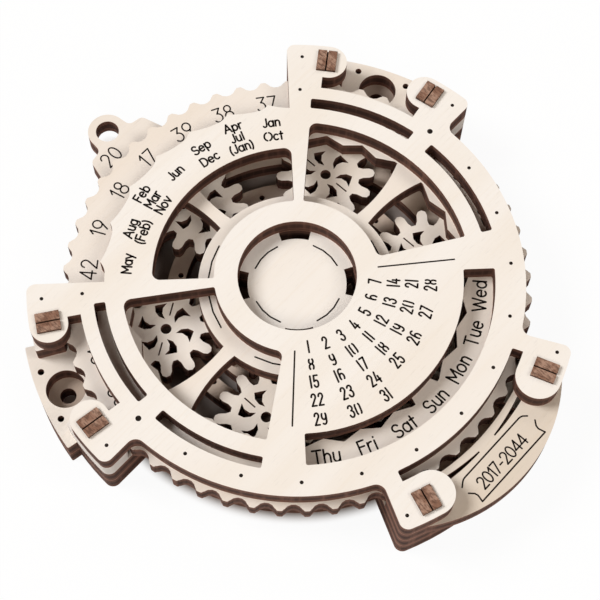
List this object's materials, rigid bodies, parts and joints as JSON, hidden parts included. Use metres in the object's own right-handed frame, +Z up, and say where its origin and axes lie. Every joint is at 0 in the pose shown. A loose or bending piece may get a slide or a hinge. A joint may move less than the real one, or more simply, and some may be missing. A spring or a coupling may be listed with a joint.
{
  "type": "perpetual desk calendar",
  "caption": "Laser-cut plywood perpetual calendar: a scalloped year and weekday wheel under a windowed cover, driving a ring, planet and sun gear train.",
  "frame": {"origin": "on the underside of the base plate, on the calendar wheel's axis", "axes": "+Z up through the sheets towards the cover, +Y towards the hanging lug, +X to the right of the months"},
  "size_m": [0.1078, 0.116, 0.0167],
  "materials": {
    "plywood": "sanded birch plywood with burnt laser edges",
    "wheel_plywood": "sanded birch plywood with burnt laser edges",
    "peg_wood": "end grain browned by the laser"
  },
  "bodies": {
    "frame": {"base_plate": "plywood", "corner_plate_right": "plywood", "corner_plate_left": "plywood", "lug_plate": "plywood", "label_plate": "plywood", "top_cover": "plywood", "spacer_right_low": "plywood", "spacer_left_low": "plywood", "spacer_right_high": "plywood", "spacer_left_high": "plywood", "label_block_right": "plywood", "label_block_left": "plywood", "hub_bush": "plywood", "hub_disc": "plywood", "peg_right_low": "peg_wood", "peg_right_high": "peg_wood", "peg_left_high": "peg_wood", "peg_left_low": "peg_wood", "peg_label_right": "peg_wood", "peg_label_left": "peg_wood", "planet_axle_1": "peg_wood", "planet_axle_2": "peg_wood", "planet_axle_3": "peg_wood", "planet_axle_4": "peg_wood", "planet_axle_5": "peg_wood", "planet_axle_6": "peg_wood"},
    "wheel": {"calendar_wheel": "wheel_plywood", "ring_gear": "wheel_plywood"},
    "sun": {"sun_gear": "wheel_plywood"},
    "planet_1": {"planet_gear_1": "wheel_plywood"},
    "planet_2": {"planet_gear_2": "wheel_plywood"},
    "planet_3": {"planet_gear_3": "wheel_plywood"},
    "planet_4": {"planet_gear_4": "wheel_plywood"},
    "planet_5": {"planet_gear_5": "wheel_plywood"},
    "planet_6": {"planet_gear_6": "wheel_plywood"}
  },
  "joints": [
    {"name": "wheel_turn", "type": "hinge", "parent": "frame", "child": "wheel", "pos_m": [0, 0, 0.008], "axis": [0, 0, 1], "continuous": true},
    {"name": "sun_turn", "type": "hinge", "parent": "frame", "child": "sun", "pos_m": [0, 0, 0.006], "axis": [0, 0, 1], "continuous": true},
    {"name": "planet_turn_1", "type": "hinge", "parent": "frame", "child": "planet_1", "pos_m": [0.02354, 0.01359, 0.006], "axis": [0, 0, 1], "continuous": true},
    {"name": "planet_turn_2", "type": "hinge", "parent": "frame", "child": "planet_2", "pos_m": [0, 0.02718, 0.006], "axis": [0, 0, 1], "continuous": true},
    {"name": "planet_turn_3", "type": "hinge", "parent": "frame", "child": "planet_3", "pos_m": [-0.02354, 0.01359, 0.006], "axis": [0, 0, 1], "continuous": true},
    {"name": "planet_turn_4", "type": "hinge", "parent": "frame", "child": "planet_4", "pos_m": [-0.02354, -0.01359, 0.006], "axis": [0, 0, 1], "continuous": true},
    {"name": "planet_turn_5", "type": "hinge", "parent": "frame", "child": "planet_5", "pos_m": [0, -0.02718, 0.006], "axis": [0, 0, 1], "continuous": true},
    {"name": "planet_turn_6", "type": "hinge", "parent": "frame", "child": "planet_6", "pos_m": [0.02354, -0.01359, 0.006], "axis": [0, 0, 1], "continuous": true}
  ],
  "couplings": [
    {"joint": "sun_turn", "follows": "wheel_turn", "ratio": -2},
    {"joint": "planet_turn_1", "follows": "wheel_turn", "ratio": 4},
    {"joint": "planet_turn_2", "follows": "wheel_turn", "ratio": 4},
    {"joint": "planet_turn_3", "follows": "wheel_turn", "ratio": 4},
    {"joint": "planet_turn_4", "follows": "wheel_turn", "ratio": 4},
    {"joint": "planet_turn_5", "follows": "wheel_turn", "ratio": 4},
    {"joint": "planet_turn_6", "follows": "wheel_turn", "ratio": 4}
  ]
}
